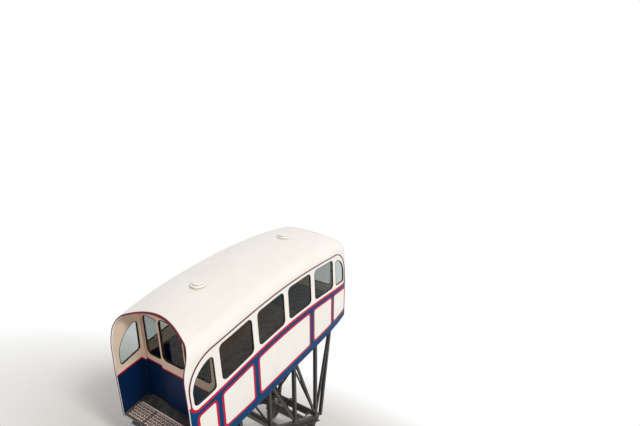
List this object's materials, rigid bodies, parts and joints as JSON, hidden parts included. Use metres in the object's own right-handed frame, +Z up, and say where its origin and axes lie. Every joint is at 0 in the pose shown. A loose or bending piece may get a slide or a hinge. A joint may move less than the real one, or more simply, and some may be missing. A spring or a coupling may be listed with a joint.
{
  "type": "funicular car",
  "caption": "Level-bodied funicular car with curved roof, open end platforms, sliding doors and a wedge frame on flanged wheels.",
  "frame": {"origin": "on the plane of the rail tops, midway along and across under the body", "axes": "+X downhill along the level body, +Y to the left when facing downhill, +Z up; the rails fall towards +X at 33 degrees"},
  "size_m": [5.3, 2.1108, 5.7985],
  "materials": {
    "roof_white": "gloss paint",
    "vent_white": "gloss paint",
    "cream_white": "gloss paint",
    "side_blue": "gloss paint, panels and lines in the visual model",
    "window_glass": "clear glass",
    "maroon_trim": "gloss paint",
    "waist_crimson": "gloss paint",
    "rim_maroon": "gloss paint",
    "bulkhead_cream": "satin paint",
    "door_cream": "satin paint",
    "track_steel": "worn",
    "floor_lino": "scuffed sheet",
    "chequer_plate": "chequer plate",
    "bench_wood": "varnish",
    "seat_fabric": "woven seat cloth",
    "grab_chrome": "polished",
    "lamp_opal": "opal shade",
    "frame_paint": "worn satin black",
    "step_grey": "light grey paint",
    "box_iron": "greasy",
    "wheel_iron": "rust and a bright tread",
    "bar_steel": "oiled",
    "buffer_rubber": "rubber faced"
  },
  "bodies": {
    "car": {"axleboxes": "box_iron", "back_cushions": "seat_fabric", "bench_left": "bench_wood", "bench_right": "bench_wood", "buffers": "buffer_rubber", "bulkhead_downhill": "bulkhead_cream", "bulkhead_glass": "window_glass", "bulkhead_uphill": "bulkhead_cream", "ceiling_lamps": "lamp_opal", "cross_members": "frame_paint", "door_tracks": "track_steel", "drip_mouldings": "maroon_trim", "end_beams": "step_grey", "end_rims": "rim_maroon", "floor_bearers": "frame_paint", "girders": "frame_paint", "grab_rails": "grab_chrome", "lower_side_left": "side_blue", "lower_side_right": "side_blue", "platform_plates": "chequer_plate", "roof_shell": "roof_white", "roof_vents": "vent_white", "rope_drawbars": "bar_steel", "saloon_floor": "floor_lino", "seat_cushions": "seat_fabric", "side_glass": "window_glass", "sole_channels": "frame_paint", "sway_braces": "frame_paint", "track_brakes": "box_iron", "truss_posts": "frame_paint", "truss_ties": "frame_paint", "upper_side_left": "cream_white", "upper_side_right": "cream_white", "waist_beads": "waist_crimson"},
    "door_leaf_uphill": {"door_uphill": "door_cream", "door_glass_uphill": "window_glass"},
    "door_leaf_downhill": {"door_downhill": "door_cream", "door_glass_downhill": "window_glass"},
    "axle_uphill": {"wheelset_uphill": "wheel_iron"},
    "axle_downhill": {"wheelset_downhill": "wheel_iron"}
  },
  "joints": [
    {"name": "door_slide_uphill", "type": "slide", "parent": "car", "child": "door_leaf_uphill", "axis": [0, -1, 0], "range_m": [0, 0.5]},
    {"name": "door_slide_downhill", "type": "slide", "parent": "car", "child": "door_leaf_downhill", "axis": [0, -1, 0], "range_m": [0, 0.5]},
    {"name": "wheels_spin_uphill", "type": "hinge", "parent": "car", "child": "axle_uphill", "pos_m": [-1.59738, 0, 1.35929], "axis": [0, 1, 0], "continuous": true},
    {"name": "wheels_spin_downhill", "type": "hinge", "parent": "car", "child": "axle_downhill", "pos_m": [1.40506, 0, -0.59052], "axis": [0, 1, 0], "continuous": true}
  ]
}
